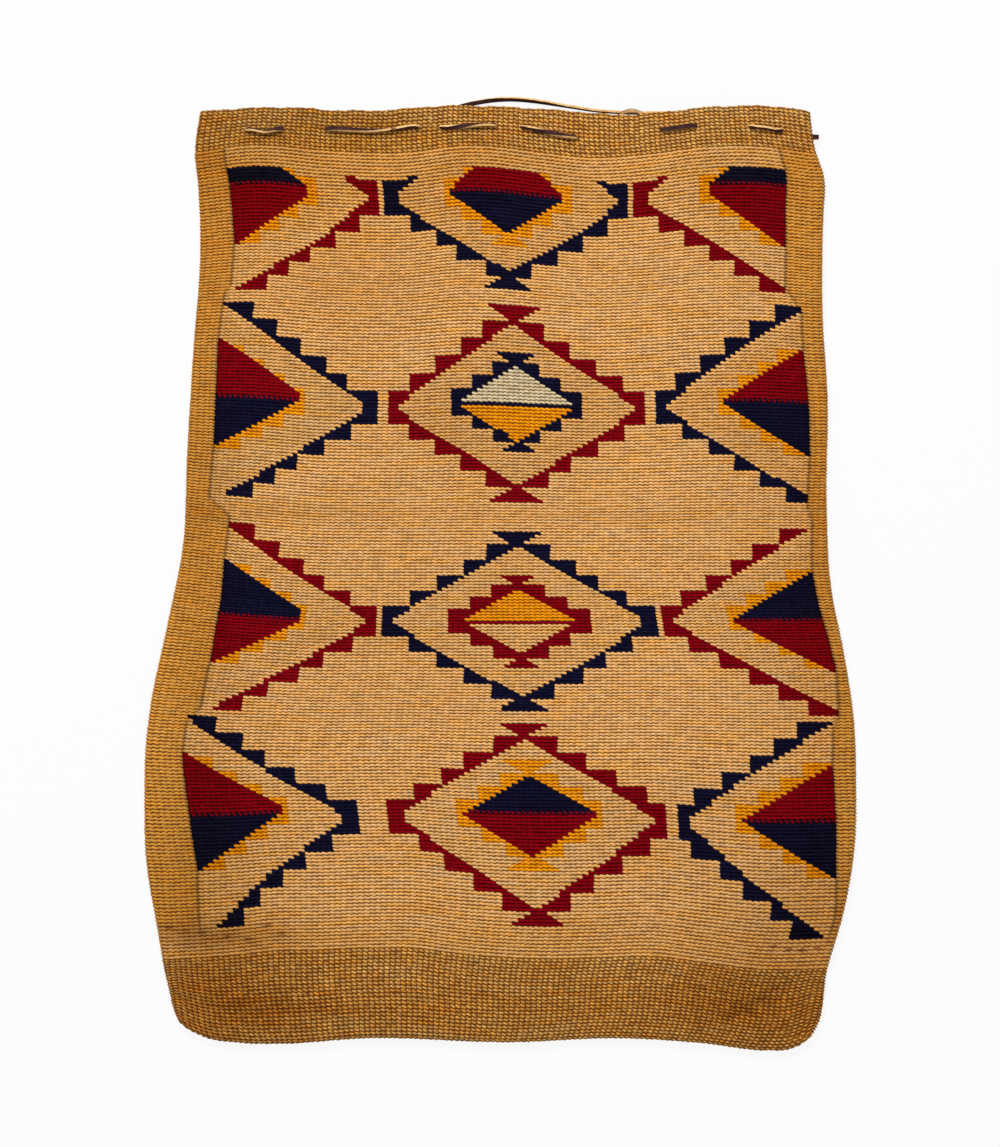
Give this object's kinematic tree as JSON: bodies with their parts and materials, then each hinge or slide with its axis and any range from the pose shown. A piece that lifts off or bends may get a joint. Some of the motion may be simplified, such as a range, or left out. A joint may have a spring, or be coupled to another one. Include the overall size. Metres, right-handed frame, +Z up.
{
  "type": "corn husk bag",
  "caption": "Flat seamless twined storage bag of hemp and corn husk with stepped diamond motifs in dyed wool, open at the top, with a leather strip laced round the rim",
  "frame": {"origin": "Under the middle of the bag, on the surface that it lies on", "axes": "+Z up through the patterned front wall, +Y from the closed bottom to the mouth, +X to the right seen from the front"},
  "size_m": [0.4603, 0.6175, 0.0211],
  "materials": {
    "corn_husk": "matt twined corn husk with wool motifs",
    "hemp": "matt twined hemp cord",
    "leather": "worn smooth grain with a pale cut edge"
  },
  "bodies": {
    "root": {"twined_bag": "corn_husk", "drawstring_thong": "leather"}
  },
  "joints": []
}
